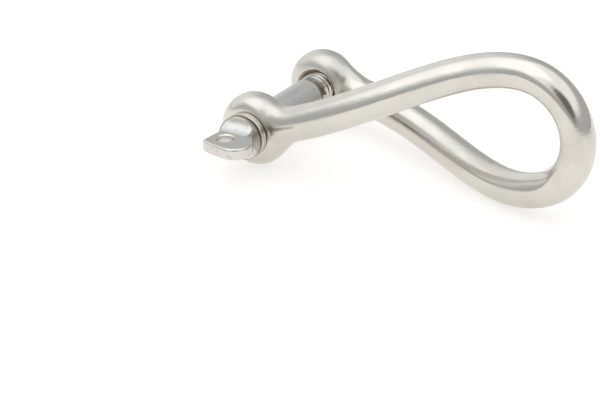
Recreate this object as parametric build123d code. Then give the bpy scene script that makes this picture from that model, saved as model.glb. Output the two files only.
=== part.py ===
from build123d import *
import math
import os

# Long twisted shackle with a screw pin, for 10 mm rigging. Lengths are in millimetres.
# The shackle is drawn square to itself first: the pin's axis is Y, with its head at -Y, and the
# load line is X, from the pin to the crown. It is tipped to its rest on a flat floor at the end.

bar_radius = 5.0             # the bow's round bar
pin_radius = 5.0             # plain shank of the pin
ear_spacing = 35.4           # between the middles of the two ears
ear_thickness = 10.0
ear_radius = 10.4
ear_edge_radius = 4.4        # rounding of the ear's rim
plain_bore_radius = 5.25     # the near ear, which the shank passes through
plain_bore_chamfer = 0.6
seat_clearance = 0.3         # the flat on an ear's outer face is this much wider than the ring
root_sections = [            # where a leg grows out of its ear: X, half height, half width
    (6.4, 8.1, 4.7),
    (8.8, 6.6, 4.8),
    (11.2, 5.4, 4.9),
    (13.5, 5.0, 5.0),
]

crown_centre_x = 75.6        # from the pin's axis to the centre of the crown's arc
crown_radius = 17.1          # centreline of the crown
crown_open_angle = 12.1      # the arc stops this far short of a half turn at each end
leg_start_x = 1.0
leg_start_reach = 34.7       # how far the leg holds its first direction
leg_start_flare = -5.0       # that direction's angle outwards, seen from above
leg_start_rise = 9.3         # and its angle out of the ears' plane
leg_end_reach = 22.7         # how far back the crown's direction is held

thread_pitch = 1.5           # M10 x 1.5, right-handed
thread_crest_radius = 4.95
thread_root_radius = 4.1
thread_crest_width = 0.2
thread_half_angle = math.radians(30)
thread_play = 0.08           # radial room between the thread's crests and the far ear's hole
countersink_radius = 6.3     # the far ear's hole, on its inner side
countersink_flat = 0.2
thread_exit_chamfer = 0.5    # and on its outer side
neck_length = 1.5
neck_radius = 4.0
neck_edge = 0.3
shank_end = 8.6              # where the plain shank ends, from the middle of the gap
tip_inset = 0.3              # the tip stops this far inside the far ear's outer face
end_chamfer = 0.6

seat_gap = 0.05              # between the ear, the collar ring and the head
ring_play = 0.05             # radial room between the collar ring and the shank
ring_length = 2.4
ring_radius = 6.6
ring_edge_radius = 0.7
head_collar_length = 2.4
head_collar_radius = 6.45
head_cone_length = 2.6
head_cone_end_radius = 5.2
groove_depth = 0.45          # the line turned between the head's collar and the ring
groove_width = 0.5
collar_edge = 0.2

tongue_thickness = 3.4
tongue_rise = 1.2            # the tongue's middle stands above the pin's axis
tongue_far_reach = 15.1      # from the ear's face to its two corners
tongue_near_reach = 16.9
tongue_tip_bulge = 1.0       # the tip is a shallow arc between them
tongue_far_side = -5.1       # the tongue is off the pin's centre, towards the crown
tongue_near_side = 8.9
tongue_far_radius = 1.3      # the corners are rounded
tongue_near_radius = 5.0
tongue_shoulder_reach = 11.2 # from the ear's face to where it is at its widest
tongue_shoulder_radius = 2.0
tongue_root_near = 5.2       # half widths where it leaves the head
tongue_root_far = 4.2
tongue_root_inset = 2.0      # how far the tongue is sunk into the head
tongue_edge_radius = 0.7
tongue_turn = 6.5            # the tongue's face leans this far towards the crown
tongue_hole_radius = 2.4
tongue_hole_reach = 11.0
tongue_hole_chamfer = 0.35
scoop_radius = 3.8
scoop_reach = 7.3            # from the ear's face to the bottom of each scoop

cut_margin = 1.0             # how far a cutting shape stands out of what it cuts
ear_y = ear_spacing / 2
inner_face_y = ear_y - ear_thickness / 2
outer_face_y = ear_y + ear_thickness / 2


def along_pin(part):
    """Turns a piece drawn along Z so that it lies along Y, head first."""
    return Rot(X=-90) * part


def turned(outline):
    """A turned piece about the pin's axis, from (radius, place along the pin) points."""
    profile = make_face(Polyline(*[(radius, 0, place) for radius, place in outline], close=True))
    return along_pin(revolve(profile, Axis.Z))


def ear(side):
    """One rounded ear, a thick disc about the pin's axis."""
    disc = along_pin(Cylinder(ear_radius, ear_thickness))
    disc = fillet(disc.edges().filter_by(GeomType.CIRCLE), ear_edge_radius)
    return Pos(0, side * ear_y, 0) * disc


def leg_path():
    """Centreline of the leg at the plain ear: it swings a quarter turn up to the crown."""
    flare = math.radians(leg_start_flare)
    rise = math.radians(leg_start_rise)
    opening = math.radians(crown_open_angle)
    start = Vector(leg_start_x, -ear_y, 0)
    heading = Vector(1, math.tan(flare), math.tan(rise))
    end = Vector(crown_centre_x + crown_radius * math.sin(opening), 0, crown_radius * math.cos(opening))
    arrival = Vector(math.cos(opening), 0, -math.sin(opening))
    return Bezier(start, start + heading * leg_start_reach, end - arrival * leg_end_reach, end)


def rest_pitch(path):
    """How far the load line is tipped up when both ears and the lower leg lie on a flat floor."""
    steps = 400
    leg = [path @ (step / steps) for step in range(steps + 1)]
    low, high = 0.0, 30.0
    for _ in range(40):
        middle = (low + high) / 2
        sine, cosine = math.sin(math.radians(middle)), math.cos(math.radians(middle))
        lowest_leg = min(point.X * sine - point.Z * cosine for point in leg) - bar_radius
        lowest_crown = crown_centre_x * sine - crown_radius - bar_radius
        if min(lowest_leg, lowest_crown) < -ear_radius:
            low = middle
        else:
            high = middle
    return low


def place_at(path, x):
    """The share of the leg's path at which it reaches X, which grows steadily along it."""
    low, high = 0.0, 1.0
    for _ in range(40):
        middle = (low + high) / 2
        if (path @ middle).X < x:
            low = middle
        else:
            high = middle
    return low


def leg_root(path):
    """The leg's thick end, which runs out of the ear and thins down to the bar."""
    sections = []
    for x, half_height, half_width in root_sections:
        share = place_at(path, x)
        across = Plane(origin=path @ share, x_dir=(0, 0, 1), z_dir=path % share)
        sections.append(across * Ellipse(half_height, half_width))
    return loft(sections)


def bow_bar(path):
    """The round bar: a leg, the crown's arc and the second leg, in one sweep."""
    first = path.trim(place_at(path, root_sections[0][0]), 1.0)
    second = Rot(X=180) * first
    arc = ThreePointArc(first @ 1, (crown_centre_x + crown_radius, 0, 0), second @ 1)
    section = Plane(origin=first @ 0, z_dir=first % 0) * Circle(bar_radius)
    return sweep(section, path=Wire([*first.edges(), *arc.edges(), *second.edges()]))


def thread_ridge(start, length):
    """One helical ridge along Z, sunk a little under the root so that it fuses."""
    sink = 0.05
    base_radius = thread_root_radius - sink
    half_crest = thread_crest_width / 2
    half_base = half_crest + (thread_crest_radius - base_radius) * math.tan(thread_half_angle)
    helix = Pos(0, 0, start) * Helix(thread_pitch, length, thread_root_radius)
    ridge = make_face(
        Polyline(
            (base_radius, 0, start - half_base),
            (thread_crest_radius, 0, start - half_crest),
            (thread_crest_radius, 0, start + half_crest),
            (base_radius, 0, start + half_base),
            close=True,
        )
    )
    return sweep(ridge, path=helix, is_frenet=True)


def threaded_bore():
    """What is cut from the far ear: a hole that clears the thread's crests, and its countersinks."""
    bore = thread_crest_radius + thread_play
    mouth = inner_face_y + countersink_flat
    exit_radius = bore + thread_exit_chamfer + cut_margin
    return turned([
        (0, inner_face_y - cut_margin),
        (countersink_radius, inner_face_y - cut_margin),
        (countersink_radius, mouth),
        (bore, mouth + countersink_radius - bore),
        (bore, outer_face_y - thread_exit_chamfer),
        (exit_radius, outer_face_y + cut_margin),
        (0, outer_face_y + cut_margin),
    ])


def plain_bore():
    """What is cut from the near ear: the shank's hole, with its edges broken."""
    mouth_radius = plain_bore_radius + plain_bore_chamfer + cut_margin
    return turned([
        (0, -outer_face_y - cut_margin),
        (mouth_radius, -outer_face_y - cut_margin),
        (plain_bore_radius, -outer_face_y + plain_bore_chamfer),
        (plain_bore_radius, -inner_face_y - plain_bore_chamfer),
        (mouth_radius, -inner_face_y + cut_margin),
        (0, -inner_face_y + cut_margin),
    ])


def bow():
    """The whole bow: both ears, the twisted bar, and the holes for the pin."""
    path = leg_path()
    root = leg_root(path)
    body = bow_bar(path) + root + Rot(X=180) * root
    for side in (-1, 1):
        body += ear(side)
    facer = along_pin(Cylinder(ring_radius + seat_clearance, ear_thickness))
    for side in (-1, 1):
        body -= Pos(0, side * (outer_face_y + ear_thickness / 2), 0) * facer
    return body - plain_bore() - threaded_bore()


def collar_ring():
    """The ring between the ear and the head, with rounded rims."""
    ring = Cylinder(ring_radius, ring_length)
    ring = fillet(ring.edges().filter_by(GeomType.CIRCLE), ring_edge_radius)
    ring -= Cylinder(pin_radius + ring_play, ring_length + cut_margin)
    return Pos(0, -outer_face_y - seat_gap - ring_length / 2, 0) * along_pin(ring)


def pin_shaft():
    """The turned part of the pin: the head's collar and cone, the shank, the neck and the core."""
    seat = -outer_face_y - 2 * seat_gap - ring_length
    collar_end = seat - head_collar_length
    groove_radius = head_collar_radius - groove_depth
    tip = outer_face_y - tip_inset
    thread_start = shank_end + neck_length
    return turned([
        (0, collar_end - head_cone_length),
        (head_cone_end_radius, collar_end - head_cone_length),
        (groove_radius, collar_end),
        (head_collar_radius, collar_end + collar_edge),
        (head_collar_radius, seat - groove_width - collar_edge),
        (groove_radius, seat - groove_width),
        (groove_radius, seat),
        (pin_radius, seat),
        (pin_radius, shank_end - end_chamfer),
        (pin_radius - end_chamfer, shank_end),
        (neck_radius, shank_end + neck_edge),
        (neck_radius, thread_start),
        (thread_root_radius, thread_start),
        (thread_root_radius, tip - end_chamfer),
        (thread_root_radius - end_chamfer, tip),
        (0, tip),
    ])


def tongue():
    """The flat tongue: it widens from the head to a shallow tip, with a hole for a spike or a lashing."""
    start = -outer_face_y - ring_length - tongue_root_inset
    shoulder = -outer_face_y - tongue_shoulder_reach
    far_corner = -outer_face_y - tongue_far_reach
    near_corner = -outer_face_y - tongue_near_reach
    tip = ((tongue_near_side + tongue_far_side) / 2, (far_corner + near_corner) / 2 - tongue_tip_bulge)
    outline = make_face([
        Polyline((tongue_far_side, far_corner), (-tongue_root_far, start), (tongue_root_near, start),
                 (tongue_near_side, shoulder), (tongue_near_side, near_corner)),
        ThreePointArc((tongue_near_side, near_corner), tip, (tongue_far_side, far_corner)),
    ])
    for x, y, radius in (
        (tongue_far_side, far_corner, tongue_far_radius),
        (tongue_near_side, near_corner, tongue_near_radius),
        (tongue_near_side, shoulder, tongue_shoulder_radius),
    ):
        nearest = outline.vertices().sort_by_distance((x, y, 0))[0]
        outline = fillet(nearest, radius)
    plate = extrude(outline, tongue_thickness)
    plate = fillet(
        plate.faces().sort_by(Axis.Z)[0].edges() + plate.faces().sort_by(Axis.Z)[-1].edges(),
        tongue_edge_radius,
    )
    hole = Pos(0, -outer_face_y - tongue_hole_reach, tongue_thickness / 2)
    plate -= hole * Cylinder(tongue_hole_radius, tongue_thickness + cut_margin)
    circles = plate.edges().filter_by(GeomType.CIRCLE)
    rims = circles.filter_by(lambda edge: abs(edge.radius - tongue_hole_radius) < 1e-4)
    plate = chamfer(rims, tongue_hole_chamfer)
    return Pos(0, 0, tongue_rise - tongue_thickness / 2) * plate


def scoop(side):
    """What is cut from the head above or below the tongue: a hollow that runs out onto the tongue."""
    face = tongue_rise + side * tongue_thickness / 2
    bottom = -outer_face_y - scoop_reach
    far = -outer_face_y - tongue_near_reach - tongue_tip_bulge - cut_margin
    reach = 2 * head_collar_radius
    high = side * reach
    centre_z = face + side * scoop_radius
    wall = bottom + scoop_radius
    swing = scoop_radius * math.sqrt(0.5)
    profile = make_face([
        Line((far, face), (bottom, face)),
        ThreePointArc((bottom, face), (bottom + swing, centre_z - side * swing), (wall, centre_z)),
        Polyline((wall, centre_z), (wall, high), (far, high), (far, face)),
    ])
    return extrude(Plane.YZ * profile, reach, both=True)


def screw_pin():
    """The screw pin: tongue, head, shank and thread in one piece."""
    body = pin_shaft()
    upper, lower = scoop(1), scoop(-1)
    turn = Rot(Y=tongue_turn)
    body = body - turn * upper - turn * lower
    body += turn * tongue()
    thread_start = shank_end + neck_length + thread_pitch / 4
    thread_end = outer_face_y - tip_inset - end_chamfer - thread_pitch / 2
    ridge = thread_ridge(thread_start, thread_end - thread_start)
    return body + along_pin(ridge)


parts = {"bow": bow(), "collar_ring": collar_ring(), "screw_pin": screw_pin()}

pitch = rest_pitch(leg_path())
print(f"rest pitch {pitch:.3f} degrees")
at_rest = Rot(Y=-pitch)
os.makedirs("parts", exist_ok=True)
for name, piece in parts.items():
    export_step(at_rest * piece, f"parts/{name}.step")
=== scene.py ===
import math

import bpy
from mathutils import Matrix, Vector


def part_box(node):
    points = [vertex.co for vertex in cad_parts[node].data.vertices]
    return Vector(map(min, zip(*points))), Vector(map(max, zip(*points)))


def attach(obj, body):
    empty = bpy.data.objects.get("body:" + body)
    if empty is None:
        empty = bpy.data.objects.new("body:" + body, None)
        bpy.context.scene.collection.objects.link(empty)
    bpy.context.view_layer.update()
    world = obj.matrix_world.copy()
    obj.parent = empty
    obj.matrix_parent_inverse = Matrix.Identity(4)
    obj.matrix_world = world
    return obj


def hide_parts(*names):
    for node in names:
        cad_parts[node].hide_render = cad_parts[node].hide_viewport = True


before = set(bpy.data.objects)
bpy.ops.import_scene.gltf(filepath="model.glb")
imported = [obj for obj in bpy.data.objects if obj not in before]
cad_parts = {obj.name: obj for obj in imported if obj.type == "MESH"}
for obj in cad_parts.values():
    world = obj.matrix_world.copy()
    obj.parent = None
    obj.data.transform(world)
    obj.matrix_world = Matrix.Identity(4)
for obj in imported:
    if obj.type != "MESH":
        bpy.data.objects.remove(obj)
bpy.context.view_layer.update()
print("frame loaded:", ", ".join(sorted(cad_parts)))

bpy.ops.object.select_all(action="DESELECT")
floorLevel = min(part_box(node)[0].z for node in ("bow", "screw_pin"))

view = {
    "azimuth": 31.73,                   # degrees round from looking along +Y
    "elevation": 26.88,
    "roll": 2.28,
    "distance": 1.0325,
    "aim": (0.00923, -0.00843, -0.02372),
    "lens": 218.75, "sensor": 36.0,
    "nearest": 0.01, "farthest": 50.0,
}


def towardsCamera():
    around, above = math.radians(view["azimuth"]), math.radians(view["elevation"])
    return Vector((math.sin(around) * math.cos(above), -math.cos(around) * math.cos(above), math.sin(above)))


def placeCamera():
    back = towardsCamera()
    data = bpy.data.cameras.new("camera")
    data.lens = view["lens"]
    data.sensor_width = view["sensor"]
    data.clip_start, data.clip_end = view["nearest"], view["farthest"]
    camera = bpy.data.objects.new("camera", data)
    bpy.context.scene.collection.objects.link(camera)
    level = back.to_track_quat("Z", "Y").to_matrix().to_4x4()
    turn = Matrix.Rotation(math.radians(view["roll"]), 4, "Z")
    camera.matrix_world = Matrix.Translation(Vector(view["aim"]) + back * view["distance"]) @ level @ turn
    bpy.context.scene.camera = camera


placeCamera()
print("camera placed")


def selectOnly(*pieces):
    bpy.ops.object.select_all(action="DESELECT")
    for piece in pieces:
        piece.select_set(True)
    bpy.context.view_layer.objects.active = pieces[0]


def turnedBody(name, rings, sides=96):
    # a closed body turned about the pin's axis, from (radius, place along the pin) in millimetres
    bpy.ops.object.select_all(action="DESELECT")
    radius, place = rings[0]
    bpy.ops.mesh.primitive_circle_add(vertices=sides, radius=radius / 1000, fill_type="NGON",
                                      location=(0, place / 1000, 0), rotation=(math.radians(90), 0, 0))
    body = bpy.context.object
    body.name = name
    bpy.ops.object.transform_apply(location=True, rotation=True, scale=True)
    bpy.ops.object.mode_set(mode="EDIT")
    for (oldRadius, oldPlace), (radius, place) in zip(rings, rings[1:]):
        bpy.ops.mesh.extrude_region_move(TRANSFORM_OT_translate={"value": (0, (place - oldPlace) / 1000, 0)})
        grow = radius / oldRadius
        bpy.ops.transform.resize(value=(grow, 1, grow), center_override=(0, place / 1000, 0))
    bpy.ops.mesh.select_all(action="SELECT")
    bpy.ops.mesh.normals_make_consistent(inside=False)
    bpy.ops.object.mode_set(mode="OBJECT")
    return body


def copyMerged(node, name):
    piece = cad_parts[node].copy()
    piece.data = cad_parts[node].data.copy()
    piece.name = name
    bpy.context.scene.collection.objects.link(piece)
    selectOnly(piece)
    bpy.ops.object.mode_set(mode="EDIT")
    bpy.ops.mesh.select_all(action="SELECT")
    bpy.ops.mesh.remove_doubles(threshold=1e-6)
    bpy.ops.object.mode_set(mode="OBJECT")
    return piece


def applied(piece, kind, **settings):
    selectOnly(piece)
    modifier = piece.modifiers.new(kind.lower(), kind)
    for key, value in settings.items():
        setattr(modifier, key, value)
    bpy.ops.object.modifier_apply(modifier=modifier.name)


def rise(value, low, high):
    # from 0 at low to 1 at high, with soft ends
    share = min(max((value - low) / (high - low), 0.0), 1.0)
    return share * share * (3 - 2 * share)


# the threaded hole of the far eye, in millimetres
thread = {
    "major": 5.03, "minor": 4.35, "pitch": 1.5,
    "start": 10.475,                    # where a crest of the pin's thread begins, along the pin
    "crestHalf": 0.054,                 # half the width of the pin's crest, which the groove takes in
    "play": 0.06,
    "flank": math.tan(math.radians(30)),
    "rowsPerTurn": 12, "sides": 72,
    "past": 1.5,                        # the tool sticks out this far at both faces
}

# the bow, in millimetres unless a line says otherwise
bowForm = {
    "voxel": 0.0004,                    # in metres
    "pitchUp": 10.377,                  # how far the load line is tipped up, in degrees
    "eyePlace": 17.7, "eyeThickness": 10.0,
    "plugRadius": 5.8,                  # the holes are plugged while the mesh is remade
    "plugMargin": 0.8,                  # and nothing is smoothed this close round a plug
    "rootFrom": (3.5, 6.0),             # along the load line, where the fillets fade in
    "rootTo": (13.0, 17.0),             # and out again
    "rootTurns": 28, "rootEase": 0.5,   # how often and how much the fillets are smoothed
    "plainBore": 5.25, "boreChamfer": 0.6,
    "cutPast": 1.0,                     # cutting tools stick out this far
    "pilot": 4.0,                       # the narrow end of the countersinks
    "sinkRadius": 6.3, "sinkFlat": 0.2, "sinkDepth": 2.5,
    "exitRadius": 6.5, "exitDepth": 1.4, "exitPast": 1.1,
    "sharpAngle": 32,                   # in degrees
}


def alongLoadLine(x, z):
    # how far out towards the crown, and how far above the load line
    tip = math.radians(bowForm["pitchUp"])
    return x * math.cos(tip) + z * math.sin(tip), z * math.cos(tip) - x * math.sin(tip)


def threadTool(low, high):
    # the threaded rod that cuts the far eye: a fine cylinder whose points stand out along the helix
    rows = int((high - low) / thread["pitch"] * thread["rowsPerTurn"])
    step = (high - low) / rows
    rings = [(thread["major"], low + step * row) for row in range(rows + 1)]
    tool = turnedBody("thread_tool", rings, thread["sides"])
    for point in tool.data.vertices:
        x, y, z = (value * 1000 for value in point.co)
        along, above = alongLoadLine(x, z)
        turn = math.atan2(-above, along) / (2 * math.pi)
        apart = (y - thread["start"]) / thread["pitch"] - turn
        apart = abs(apart - round(apart)) * thread["pitch"]       # from the nearest groove's middle
        depth = max(apart - thread["crestHalf"] - thread["play"], 0.0) / thread["flank"]
        radius = max(thread["major"] - depth, thread["minor"])
        around = math.atan2(z, x)
        point.co = (radius * math.cos(around) / 1000, y / 1000, radius * math.sin(around) / 1000)
    return tool


def pluggedBow():
    # the bow with both holes closed, as one even mesh
    form = bowForm
    cast = copyMerged("bow", "cast_bow")
    half = form["eyeThickness"] / 2
    plugs = [turnedBody("plug", [(form["plugRadius"], side * form["eyePlace"] - half),
                                 (form["plugRadius"], side * form["eyePlace"] + half)]) for side in (-1, 1)]
    selectOnly(cast, *plugs)
    bpy.ops.object.join()
    applied(cast, "REMESH", mode="VOXEL", voxel_size=form["voxel"], adaptivity=0.0)
    return cast


def filletRoots(cast):
    # fillets where the legs grow out of the eyes; everything else goes back to its exact shape
    form = bowForm
    exact = copyMerged("bow", "bow_exact")
    root, rest = cast.vertex_groups.new(name="root"), cast.vertex_groups.new(name="rest")
    for point in cast.data.vertices:
        x, y, z = (value * 1000 for value in point.co)
        along, above = alongLoadLine(x, z)
        weight = rise(along, *form["rootFrom"]) * (1 - rise(along, *form["rootTo"]))
        inside = math.hypot(x, z) < form["plugRadius"] + form["plugMargin"]
        root.add([point.index], 0.0 if inside else weight, "REPLACE")
        rest.add([point.index], 0.0 if inside else 1 - weight, "REPLACE")
    applied(cast, "SMOOTH", factor=form["rootEase"], iterations=form["rootTurns"], vertex_group="root")
    applied(cast, "SHRINKWRAP", target=exact, wrap_method="NEAREST_SURFACEPOINT", vertex_group="rest")
    bpy.data.objects.remove(exact)
    cast.vertex_groups.clear()


def cutHoles(cast):
    # the near eye's plain hole, the far eye's countersink, its chamfer on the outside and its thread
    form = bowForm
    half = form["eyeThickness"] / 2
    outer, inner = form["eyePlace"] + half, form["eyePlace"] - half
    past, chamfer = form["cutPast"], form["boreChamfer"]
    edge = form["plainBore"] + chamfer
    plain = turnedBody("plain_tool", [(edge + past, -outer - past), (form["plainBore"], -outer + chamfer),
                                      (form["plainBore"], -inner - chamfer), (edge + past, -inner + past)])
    sink = form["sinkRadius"]
    mouth = turnedBody("mouth_tool", [(sink, inner - past), (sink, inner + form["sinkFlat"]),
                                      (form["pilot"], inner + form["sinkDepth"])])
    leave = turnedBody("exit_tool", [(form["pilot"], outer - form["exitDepth"]),
                                     (form["exitRadius"], outer + form["exitPast"])])
    for tool in (plain, mouth, leave, threadTool(inner - thread["past"], outer + thread["past"])):
        applied(cast, "BOOLEAN", operation="DIFFERENCE", solver="EXACT", object=tool)
        bpy.data.objects.remove(tool)


def castBow():
    cast = pluggedBow()
    filletRoots(cast)
    cutHoles(cast)
    selectOnly(cast)
    bpy.ops.object.shade_smooth_by_angle(angle=math.radians(bowForm["sharpAngle"]))
    print("bow cast, with", len(cast.data.polygons), "faces")
    return cast


bow = castBow()
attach(bow, "bow")
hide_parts("bow")


class Socket:
    # a node's output, on which Python's own signs add Math nodes
    def __init__(self, maker, link):
        self.maker, self.link = maker, link

    def maths(self, operation, *others):
        return self.maker.node("ShaderNodeMath", {"operation": operation}, [self, *others])

    def swapped(self, operation, other):
        return self.maker.node("ShaderNodeMath", {"operation": operation}, [other, self])

    def __add__(self, other):
        return self.maths("ADD", other)

    def __radd__(self, other):
        return self.swapped("ADD", other)

    def __sub__(self, other):
        return self.maths("SUBTRACT", other)

    def __rsub__(self, other):
        return self.swapped("SUBTRACT", other)

    def __mul__(self, other):
        return self.maths("MULTIPLY", other)

    def __rmul__(self, other):
        return self.swapped("MULTIPLY", other)

    def __truediv__(self, other):
        return self.maths("DIVIDE", other)

    def __pow__(self, other):
        return self.maths("POWER", other)

    def __lt__(self, other):
        return self.maths("LESS_THAN", other)

    def __abs__(self):
        return self.maths("ABSOLUTE")


class Nodes:
    # a node tree; node() adds any node, its settings first and then its inputs
    def __init__(self, tree):
        self.tree = tree

    def feed(self, socket, value):
        if isinstance(value, Socket):
            self.tree.links.new(value.link, socket)
        else:
            socket.default_value = value

    def node(self, kind, settings=None, values=(), output=0, **named):
        made = self.tree.nodes.new(kind)
        for key, setting in (settings or {}).items():
            if key == "stops":
                ramp = made.color_ramp
                while len(ramp.elements) < len(setting):
                    ramp.elements.new(0.5)
                for element, (place, colour) in zip(ramp.elements, setting):
                    element.position, element.color = place, (*colour, 1.0)
            else:
                setattr(made, key, setting)
        for index, value in enumerate(values):
            self.feed(made.inputs[index], value)
        for key, value in named.items():
            self.feed(made.inputs[key.replace("_", " ")], value)
        return Socket(self, made.outputs[output])

    def part(self, where, axis):
        return self.node("ShaderNodeSeparateXYZ", values=[where], output=axis)

    def along(self, where, direction):
        return self.node("ShaderNodeVectorMath", {"operation": "DOT_PRODUCT"}, [where, direction],
                         output="Value")

    def ramp(self, factor, stops):
        return self.node("ShaderNodeValToRGB", {"stops": stops}, [factor])

    def mixed(self, factor, low, high):
        # a Mix node's colours are its inputs 6 and 7 and its output 2
        made = self.tree.nodes.new("ShaderNodeMix")
        made.data_type = "RGBA"
        for socket, value in zip((made.inputs[0], made.inputs[6], made.inputs[7]), (factor, low, high)):
            self.feed(socket, value)
        return Socket(self, made.outputs[2])

    def smooth(self, value, low, high):
        return self.node("ShaderNodeMapRange", {"interpolation_type": "SMOOTHSTEP"}, [value, low, high])


class Finish(Nodes):
    # one procedural material
    def __init__(self, name):
        self.material = bpy.data.materials.new(name)
        self.material.use_nodes = True
        super().__init__(self.material.node_tree)
        self.tree.nodes.clear()
        self.shader = self.tree.nodes.new("ShaderNodeBsdfPrincipled")
        output = self.tree.nodes.new("ShaderNodeOutputMaterial")
        self.tree.links.new(self.shader.outputs[0], output.inputs[0])

    def place(self):
        return self.node("ShaderNodeTexCoord", output="Object")

    def noise(self, where, scale, detail, roughness):
        return self.node("ShaderNodeTexNoise", Vector=where, Scale=scale, Detail=detail, Roughness=roughness)

    def stretched(self, where, scale):
        return self.node("ShaderNodeMapping", Vector=where, Scale=scale)

    def bump(self, height, distance):
        return self.node("ShaderNodeBump", Height=height, Distance=distance, Strength=1.0)

    def apply(self, **values):
        for key, value in values.items():
            self.feed(self.shader.inputs[key.replace("_", " ")], value)
        return self.material


# a noise is given as its scale in waves per metre, its detail and its roughness
polish = {
    "tone": (0.68, 0.655, 0.60, 1.0), "dull": (0.60, 0.575, 0.525, 1.0),
    "roughness": 0.13, "haze": 0.13,
    "satin": 0.09, "satinEnds": (0.005, 0.016),     # the eyes are less polished than the legs
    "cloud": (70.0, 4.0, 0.6), "cloudEnds": (0.38, 0.72), "cloudShare": 0.7,
    "grain": (2600.0, 2.0, 0.5), "grainShare": 0.3, "grainRough": 0.04, "grainHeight": 0.06,
    "peel": (420.0, 2.0, 0.4),                      # the ripple that is left of the cast skin
    "pits": 620.0, "pitSize": 0.10, "pitShare": 0.16,
    "pit": (0.30, 0.28, 0.25, 1.0), "pitStrength": 0.8, "pitRough": 0.2, "pitDepth": 1.5,
    "relief": 0.000012,
}


def polishedSteel():
    # mirror polish with a faint haze, the ripple of a cast surface and a few fine pits
    finish = Finish("polished_steel")
    where = finish.place()
    cloud = finish.smooth(finish.noise(where, *polish["cloud"]), *polish["cloudEnds"])
    grain = finish.noise(where, *polish["grain"])
    eyes = 1 - finish.smooth(finish.part(where, "X"), *polish["satinEnds"])
    near, chance = [finish.node("ShaderNodeTexVoronoi", Vector=where, Scale=polish["pits"], Randomness=1.0,
                                output=output) for output in ("Distance", "Color")]
    lucky = finish.node("ShaderNodeSeparateColor", values=[chance]) < polish["pitShare"]
    pit = (1 - finish.smooth(near, polish["pitSize"] * 0.5, polish["pitSize"])) * lucky
    dull = cloud * polish["cloudShare"] + grain * polish["grainShare"]
    tone = finish.mixed(dull, polish["tone"], polish["dull"])
    tone = finish.mixed(pit * polish["pitStrength"], tone, polish["pit"])
    rough = polish["roughness"] + cloud * polish["haze"] + eyes * polish["satin"]
    rough = rough + grain * polish["grainRough"] + pit * polish["pitRough"]
    height = finish.noise(where, *polish["peel"]) + grain * polish["grainHeight"] - pit * polish["pitDepth"]
    return finish.apply(Base_Color=tone, Metallic=1.0, Roughness=rough,
                        Normal=finish.bump(height, polish["relief"]))


turned = {
    "tone": (0.66, 0.63, 0.57, 1.0), "roughness": 0.16,
    # the tone of the painted shade in the seats, how strongly it is laid on, and the roughness it adds there
    "paintedShade": (0.16, 0.14, 0.12, 1.0), "paintedShadeStrength": 0.85, "paintedShadeRough": 0.2,
    "seats": (-22.75, -25.15), "seatWidth": 0.55,   # along the pin, in millimetres
    "lines": (5200.0, 2.0, 0.5), "linesAlong": (0.08, 1.0, 0.08), "linesRough": 0.12,
    "relief": 0.000012,
}


def turnedSteel():
    # bright turned ring, with painted shade where it meets the eye and the head
    finish = Finish("turned_steel")
    where = finish.place()
    along = finish.part(where, "Y") * 1000.0
    near, far = turned["seats"]
    width = turned["seatWidth"]
    # painted shade in the narrow seats between the ring, the eye and the head
    paintedShade = 1 - finish.smooth(near - along, 0.0, width) * finish.smooth(along - far, 0.0, width)
    lines = finish.noise(finish.stretched(where, turned["linesAlong"]), *turned["lines"])
    tone = finish.mixed(paintedShade * turned["paintedShadeStrength"], turned["tone"], turned["paintedShade"])
    rough = turned["roughness"] + lines * turned["linesRough"] + paintedShade * turned["paintedShadeRough"]
    return finish.apply(Base_Color=tone, Metallic=1.0, Roughness=rough,
                        Normal=finish.bump(lines, turned["relief"]))


pin = {
    # places along the pin in millimetres, each with its tone and roughness
    "zones": [
        (-40.0, (0.66, 0.64, 0.59), 0.20),          # the tongue's rim
        (-30.2, (0.66, 0.64, 0.59), 0.20),
        (-29.9, (0.69, 0.69, 0.665), 0.40),         # the brushed scoops
        (-25.9, (0.70, 0.69, 0.66), 0.32),
        (-25.75, (0.14, 0.12, 0.10), 0.40),         # the groove behind the head, its dark tone painted shade
        (-25.2, (0.14, 0.12, 0.10), 0.40),
        (-25.0, (0.61, 0.595, 0.565), 0.34),        # the shank
        (7.7, (0.61, 0.595, 0.565), 0.34),
        (8.0, (0.78, 0.74, 0.67), 0.18),            # its chamfer, a little smoother, with a painted highlight in its tone
        (8.6, (0.60, 0.56, 0.50), 0.20),
        (8.9, (0.30, 0.27, 0.235), 0.30),           # the neck, its dark tone painted shade in the undercut
        (10.0, (0.34, 0.31, 0.27), 0.28),
        (10.4, (0.72, 0.69, 0.63), 0.15),           # the thread
        (23.0, (0.72, 0.69, 0.63), 0.15),
    ],
    # the head's round skin, a cone between two places, is darker than its scoops
    "head": {"start": -27.6, "radius": 6.0, "end": -30.2, "endRadius": 5.2,
             "skin": (0.25, 0.05), "soft": 0.2, "back": (-25.9, -25.7)},
    "headTone": (0.40, 0.37, 0.325, 1.0), "headStrength": 0.85,
    "tongueTurn": -3.877,                           # the tongue's face, from level, in degrees
    "tongueEnds": (-30.3, -29.9), "flatEnds": (0.93, 0.985),
    "blasted": (0.48, 0.47, 0.45, 1.0), "blastedLight": (0.55, 0.54, 0.52, 1.0), "blastedRoughness": 0.50,
    # painted shade in the roots of the thread: its tone, how strongly, and where it lies by radius and along
    # the pin
    "root": (0.26, 0.23, 0.20, 1.0), "rootStrength": 0.8,
    "rootRadius": (4.2, 4.75), "rootPlace": (10.0, 10.4),
    "sand": (6000.0, 2.0, 0.6), "sandHeight": 0.15, "blastedHeight": 0.8,
    "lines": (3600.0, 3.0, 0.6), "linesAlong": (0.05, 1.0, 0.05), "linesRough": 0.06, "linesHeight": 0.5,
    "mottle": (520.0, 3.0, 0.6), "mottleEnds": (0.52, 0.70),
    "mottleTone": (0.34, 0.32, 0.29, 1.0), "mottleStrength": 0.30,
    "relief": 0.00002,
}


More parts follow.
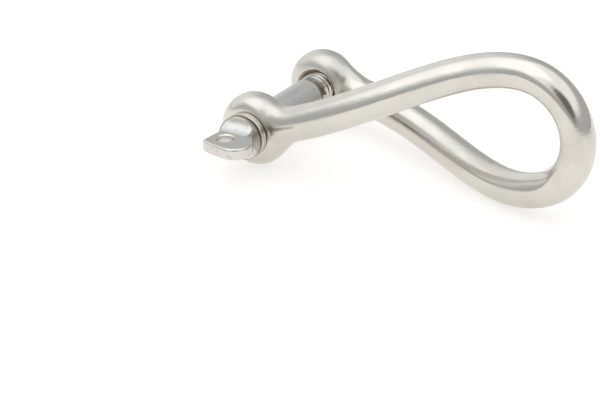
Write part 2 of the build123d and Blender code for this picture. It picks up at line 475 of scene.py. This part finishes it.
def headSkin(finish, radius, along):
    # where the head is still round, between its scoops
    head = pin["head"]
    slope = (head["radius"] - head["endRadius"]) / (head["start"] - head["end"])
    deep, shallow = (head["endRadius"] - depth for depth in head["skin"])
    skin = finish.smooth(radius - (along - head["end"]) * slope, deep, shallow)
    front = finish.smooth(along, head["end"] - head["soft"], head["end"] + head["soft"])
    return skin * front * (1 - finish.smooth(along, *head["back"]))


def pinSteel():
    # satin shank, bright thread, painted shade in the neck, the groove and the thread's roots, a painted
    # highlight on the chamfer, blasted tongue
    finish = Finish("pin_steel")
    where = finish.place()
    across, along, up = [finish.part(where, axis) * 1000.0 for axis in "XYZ"]
    low, high = pin["zones"][0][0], pin["zones"][-1][0]
    share = (along - low) / (high - low)
    tones = [((place - low) / (high - low), tone) for place, tone, rough in pin["zones"]]
    roughs = [((place - low) / (high - low), (rough,) * 3) for place, tone, rough in pin["zones"]]

    lean = math.radians(pin["tongueTurn"])
    normal = finish.node("ShaderNodeTexCoord", output="Normal")
    flat = abs(finish.along(normal, (math.sin(lean), 0.0, math.cos(lean))))
    blasted = finish.smooth(flat, *pin["flatEnds"]) * (1 - finish.smooth(along, *pin["tongueEnds"]))
    radius = (across * across + up * up) ** 0.5
    # painted shade in the thread's roots
    root = (1 - finish.smooth(radius, *pin["rootRadius"])) * finish.smooth(along, *pin["rootPlace"])

    sand = finish.noise(where, *pin["sand"])
    lines = finish.noise(finish.stretched(where, pin["linesAlong"]), *pin["lines"])
    mottle = finish.smooth(finish.noise(where, *pin["mottle"]), *pin["mottleEnds"])
    tone = finish.mixed(mottle * (1 - blasted) * pin["mottleStrength"], finish.ramp(share, tones),
                        pin["mottleTone"])
    tone = finish.mixed(blasted, tone, finish.mixed(sand, pin["blasted"], pin["blastedLight"]))
    tone = finish.mixed(headSkin(finish, radius, along) * pin["headStrength"], tone, pin["headTone"])
    tone = finish.mixed(root * pin["rootStrength"], tone, pin["root"])
    rough = finish.ramp(share, roughs) * (1 - blasted) + blasted * pin["blastedRoughness"]
    rough = rough + lines * pin["linesRough"]
    height = lines * pin["linesHeight"] + sand * (blasted * pin["blastedHeight"] + pin["sandHeight"])
    return finish.apply(Base_Color=tone, Metallic=1.0, Roughness=rough,
                        Normal=finish.bump(height, pin["relief"]))


def dress(piece, material):
    piece.data.materials.clear()
    piece.data.materials.append(material)


dress(bow, polishedSteel())
dress(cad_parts["collar_ring"], turnedSteel())
dress(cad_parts["screw_pin"], pinSteel())
print("materials made")

studio = {
    "floor": 6.0,
    "floorTone": (0.46, 0.45, 0.435, 1.0), "floorRoughness": 0.9,
    "glowTone": (1.0, 0.993, 0.982, 1.0), "glow": 0.64,
    "lamp": {"at": (-0.4, -0.4, 1.2), "size": (1.4, 1.4), "power": 2.0},
    # the sky is brightest overhead, a little to the camera's side: how far to that side, and how far up
    "bright": (-0.30, 0.954),
    "skyStops": [(0.5, (0.44, 0.455, 0.47)), (0.75, (0.44, 0.455, 0.47)), (0.84, (0.94, 0.965, 1.0)),
                 (1.0, (0.96, 0.98, 1.0))],
    "sky": 1.25,
    # a soft panel on the left, and the dark shape of whoever stands at the camera; the spreads are cosines
    "panel": {"towards": (-0.93, 0.20, 0.30), "spread": (0.62, 0.90), "tone": (0.80, 0.82, 0.84, 1.0)},
    "onlooker": {"towards": towardsCamera(), "spread": (0.90, 0.975), "tone": (0.15, 0.14, 0.125, 1.0)},
    "horizon": (0.02, 0.07), "horizonTone": (0.20, 0.195, 0.19, 1.0),    # a dark line all round the floor
}


def layFloor():
    bpy.ops.mesh.primitive_plane_add(size=studio["floor"], location=(0, 0, floorLevel))
    floor = bpy.context.object
    floor.name = "floor"
    finish = Finish("floor")
    finish.apply(Base_Color=studio["floorTone"], Roughness=studio["floorRoughness"],
                 Emission_Color=studio["glowTone"], Emission_Strength=studio["glow"])
    floor.data.materials.append(finish.material)


def hangLamp():
    lamp = studio["lamp"]
    data = bpy.data.lights.new("overhead", "AREA")
    data.shape = "RECTANGLE"
    data.size, data.size_y = lamp["size"]
    data.energy = lamp["power"]
    hung = bpy.data.objects.new("overhead", data)
    bpy.context.scene.collection.objects.link(hung)
    hung.location = lamp["at"]
    hung.rotation_euler = (-Vector(lamp["at"])).to_track_quat("-Z", "Y").to_euler()


def lightSky():
    world = bpy.data.worlds.new("studio")
    bpy.context.scene.world = world
    world.use_nodes = True
    sky = Nodes(world.node_tree)
    where = sky.node("ShaderNodeTexCoord", output="Generated")
    across, up = studio["bright"]
    turn = math.radians(view["azimuth"])
    bright = (-across * math.sin(turn), across * math.cos(turn), up)
    height = sky.node("ShaderNodeMapRange", None, [sky.along(where, bright), -1.0, 1.0])
    tone = sky.ramp(height, studio["skyStops"])
    for place in (studio["panel"], studio["onlooker"]):
        near = sky.smooth(sky.along(where, Vector(place["towards"]).normalized()), *place["spread"])
        tone = sky.mixed(near, tone, place["tone"])
    edge = 1 - sky.smooth(sky.part(where, "Z"), *studio["horizon"])
    tone = sky.mixed(edge, tone, studio["horizonTone"])
    background = world.node_tree.nodes["Background"]
    sky.feed(background.inputs["Color"], tone)
    background.inputs["Strength"].default_value = studio["sky"]


layFloor()
hangLamp()
lightSky()
bpy.context.scene.view_settings.view_transform = "Standard"
print("floor and lights set")
